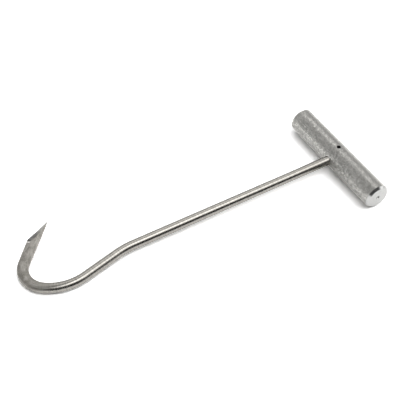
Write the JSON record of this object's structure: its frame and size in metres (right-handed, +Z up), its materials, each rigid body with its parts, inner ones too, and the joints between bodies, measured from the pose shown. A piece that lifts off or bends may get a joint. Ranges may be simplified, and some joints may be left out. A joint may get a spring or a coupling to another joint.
{
  "type": "t-handled hand hook",
  "caption": "Hand hook: a bent steel rod, hammered flat and ground to a point, fixed through a knurled aluminium T handle.",
  "frame": {"origin": "centre of the footprint, on the surface the tool lies on", "axes": "+X along the shank from the hook to the handle, +Y along the handle towards the side the point is on, +Z up from the surface the tool lies on"},
  "size_m": [0.3424, 0.131, 0.0254],
  "materials": {
    "handle_aluminium": "fine diamond knurl, with turned chamfers and faced ends",
    "rod_steel": "polished round shank with faint rings; satin, belt-ground hook end",
    "screw_steel": "bright machined stainless"
  },
  "bodies": {
    "root": {"handle": "handle_aluminium", "hook_rod": "rod_steel", "set_screw": "screw_steel"}
  },
  "joints": []
}
